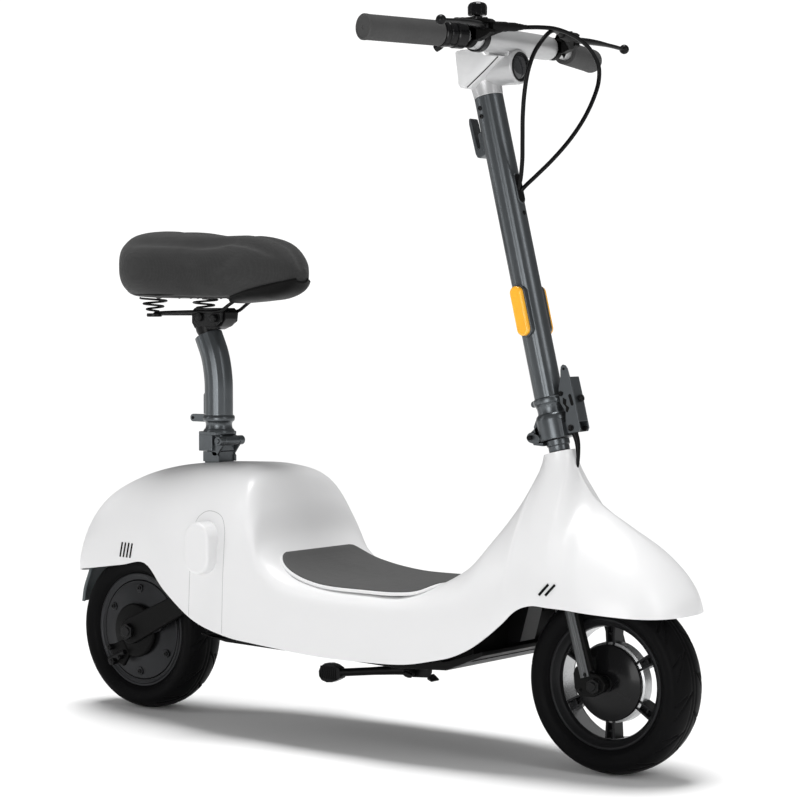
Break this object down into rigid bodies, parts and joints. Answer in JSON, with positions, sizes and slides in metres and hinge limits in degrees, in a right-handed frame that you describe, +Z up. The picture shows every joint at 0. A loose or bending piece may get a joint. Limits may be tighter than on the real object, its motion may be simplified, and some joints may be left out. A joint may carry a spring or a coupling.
{
  "type": "seated electric scooter",
  "caption": "Step-through electric scooter with a sprung folding saddle, low footboard, folding stem and bar, hub motor on a swingarm and a moulded body.",
  "frame": {"origin": "on the ground under the middle of the scooter (centre of the bounding box's bottom)", "axes": "+X forward, +Y to the rider's left, +Z up"},
  "size_m": [1.155, 0.5596, 1.069],
  "materials": {
    "amber_reflector": "clear amber moulding",
    "battery_wrap": "blue shrink wrap",
    "black_metal": "black powder coat",
    "black_plastic": "matte black",
    "copper": "copper windings on a steel core",
    "dark_lens": "smoked lens",
    "flap_rubber": "soft dark grey rubber",
    "fork_paint": "satin dark grey paint",
    "frame_aluminium": "black-coated cast and welded aluminium",
    "gloss_black": "gloss black",
    "grip_rubber": "matte dark grey rubber",
    "mat_rubber": "ribbed grey rubber",
    "red_lens": "clear red moulding",
    "rim_alloy": "black-coated cast aluminium",
    "saddle_fabric": "black woven saddle cover",
    "silver_paint": "satin silver-white paint on aluminium",
    "steel": "zinc-plated steel",
    "stem_paint": "satin blue-grey paint on aluminium",
    "tyre_rubber": "matte black tyre rubber",
    "white_plastic": "gloss white moulding"
  },
  "bodies": {
    "chassis": {"main_frame": "frame_aluminium", "body_shell": "white_plastic", "deck_mat": "mat_rubber", "belly_pan": "black_plastic", "battery_pack": "battery_wrap", "motor_controller": "rim_alloy", "side_boss_right": "white_plastic", "side_boss_left": "white_plastic", "mud_flap": "flap_rubber", "tail_light": "red_lens", "seat_base": "stem_paint", "seat_hinge_pin": "steel", "kickstand_bracket": "black_metal", "headset_bearing_upper": "steel", "headset_bearing_lower": "steel", "swingarm_pivot_bolt": "steel"},
    "swingarm": {"swingarm": "frame_aluminium", "rear_axle": "steel", "motor_stator": "copper"},
    "rear_wheel": {"rear_tyre": "tyre_rubber", "rear_rim": "rim_alloy", "motor_cover": "rim_alloy"},
    "fork": {"fork_crown": "fork_paint", "fork_leg_right": "fork_paint", "fork_leg_left": "fork_paint", "front_axle": "steel", "brake_plate": "gloss_black", "stem_base": "stem_paint", "fold_hinge_pin": "steel"},
    "front_wheel": {"front_tyre": "tyre_rubber", "front_rim": "rim_alloy"},
    "latch": {"fold_latch_lever": "stem_paint"},
    "stem": {"stem_tube": "stem_paint", "reflector_right": "amber_reflector", "reflector_left": "amber_reflector", "bag_hook": "stem_paint", "stem_head": "silver_paint", "headlight_lens": "dark_lens", "display_unit": "white_plastic", "handlebar_tube": "silver_paint", "grip_right": "grip_rubber", "grip_left": "grip_rubber", "brake_mount_right": "black_plastic", "brake_mount_left": "black_plastic", "bell_body": "black_plastic", "throttle_housing": "gloss_black", "brake_cable_right": "black_plastic", "brake_cable_left": "black_plastic"},
    "brake_lever_right_body": {"brake_lever_right": "black_metal"},
    "brake_lever_left_body": {"brake_lever_left": "black_metal"},
    "throttle": {"throttle_paddle": "gloss_black"},
    "bell_striker": {"bell_lever": "black_metal"},
    "kickstand": {"kickstand_leg": "black_metal"},
    "seat": {"seat_post": "stem_paint", "seat_clamp": "black_metal", "saddle_rails": "black_metal", "saddle_spring_right": "steel", "saddle_spring_left": "steel"},
    "saddle": {"saddle_base": "black_plastic", "saddle_cover": "saddle_fabric"}
  },
  "joints": [
    {"name": "steering", "type": "hinge", "parent": "chassis", "child": "fork", "pos_m": [0.357, 0, 0.442], "axis": [-0.2402, 0, 0.9707], "range_deg": [-35, 35]},
    {"name": "stem_fold", "type": "hinge", "parent": "fork", "child": "stem", "pos_m": [0.32018, 0, 0.46173], "axis": [0, 1, 0], "range_deg": [-40, 0]},
    {"name": "fold_latch", "type": "hinge", "parent": "stem", "child": "latch", "pos_m": [0.38328, 0, 0.47735], "axis": [0, 1, 0], "range_deg": [0, 60]},
    {"name": "front_wheel_spin", "type": "hinge", "parent": "fork", "child": "front_wheel", "pos_m": [0.45, 0, 0.1275], "axis": [0, 1, 0], "continuous": true},
    {"name": "swingarm_pivot", "type": "hinge", "parent": "chassis", "child": "swingarm", "pos_m": [-0.275, 0, 0.205], "axis": [0, 1, 0], "range_deg": [0, 3], "stiffness_Nm_per_rad": 900, "springref_deg": -6.88},
    {"name": "rear_wheel_spin", "type": "hinge", "parent": "swingarm", "child": "rear_wheel", "pos_m": [-0.44, 0, 0.1275], "axis": [0, 1, 0], "continuous": true},
    {"name": "brake_lever_right", "type": "hinge", "parent": "stem", "child": "brake_lever_right_body", "pos_m": [0.302, -0.104, 1.031], "axis": [0, 0, -1], "range_deg": [0, 18], "stiffness_Nm_per_rad": 0.8, "springref_deg": -17.19},
    {"name": "brake_lever_left", "type": "hinge", "parent": "stem", "child": "brake_lever_left_body", "pos_m": [0.302, 0.104, 1.031], "axis": [0, 0, 1], "range_deg": [0, 18], "stiffness_Nm_per_rad": 0.8, "springref_deg": -17.19},
    {"name": "throttle_turn", "type": "hinge", "parent": "stem", "child": "throttle", "pos_m": [0.26383, -0.137, 1.02], "axis": [-0.2756, -0.9613, 0], "range_deg": [0, 25], "stiffness_Nm_per_rad": 0.2, "springref_deg": -17.19},
    {"name": "bell_strike", "type": "hinge", "parent": "stem", "child": "bell_striker", "pos_m": [0.271, -0.08, 1.047], "axis": [0, 0, 1], "range_deg": [0, 15], "stiffness_Nm_per_rad": 0.05, "springref_deg": -17.19},
    {"name": "kickstand_swing", "type": "hinge", "parent": "chassis", "child": "kickstand", "pos_m": [0.058, 0.04, 0.102], "axis": [0.1, -0.6301, -0.7701], "range_deg": [0, 100]},
    {"name": "seat_fold", "type": "hinge", "parent": "chassis", "child": "seat", "pos_m": [-0.269, 0, 0.437], "axis": [0, 1, 0], "range_deg": [0, 70]},
    {"name": "saddle_bounce", "type": "hinge", "parent": "seat", "child": "saddle", "pos_m": [-0.228, 0, 0.664], "axis": [0, 1, 0], "range_deg": [-3, 0], "stiffness_Nm_per_rad": 250, "springref_deg": 8.59, "deforming": ["saddle_spring_right", "saddle_spring_left"]}
  ]
}
